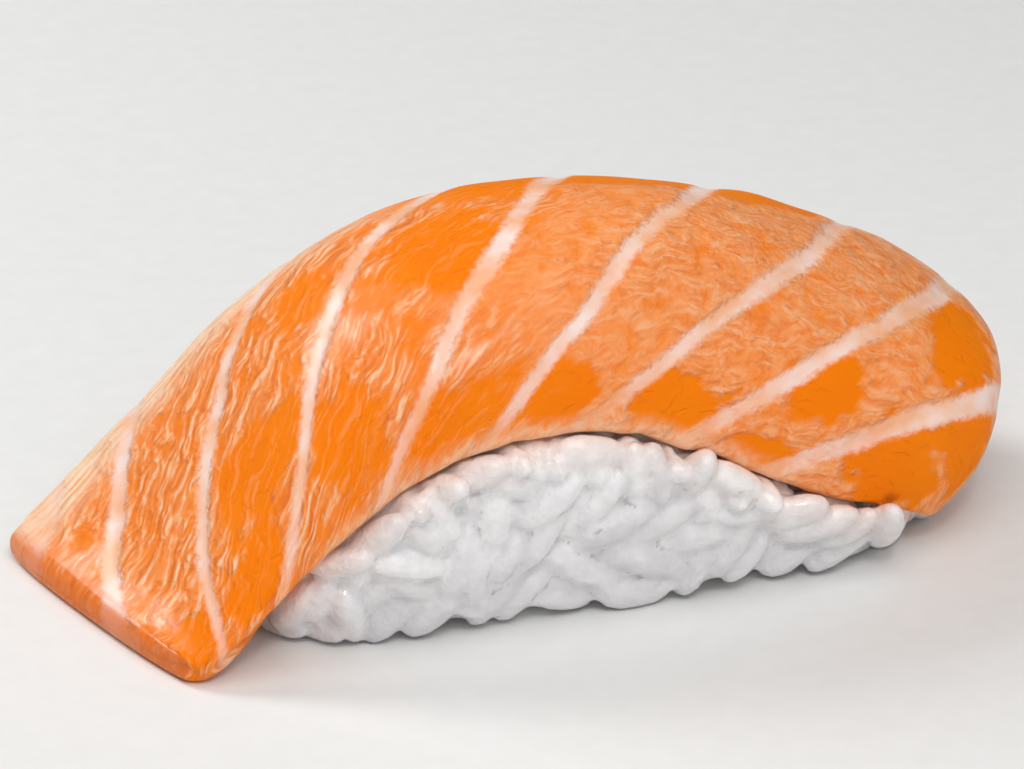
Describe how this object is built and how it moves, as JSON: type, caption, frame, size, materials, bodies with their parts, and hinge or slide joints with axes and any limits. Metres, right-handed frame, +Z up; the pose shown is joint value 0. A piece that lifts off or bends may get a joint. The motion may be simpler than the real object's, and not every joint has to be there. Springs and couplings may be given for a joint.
{
  "type": "salmon nigiri",
  "caption": "Pressed oblong pad of white sushi rice under a draped slice of raw salmon with pale diagonal fat lines.",
  "frame": {"origin": "centre of the rice pad's flat base, on the table", "axes": "+Z up from the base, +X along the pad to the end where the slice tucks under, -Y to the long side that faces the viewer"},
  "size_m": [0.0805, 0.0314, 0.0298],
  "materials": {
    "salmon": "wet raw salmon, orange with pale fat lines",
    "rice": "moist cooked rice, white and slightly translucent"
  },
  "bodies": {
    "root": {"salmon": "salmon", "rice": "rice"}
  },
  "joints": []
}
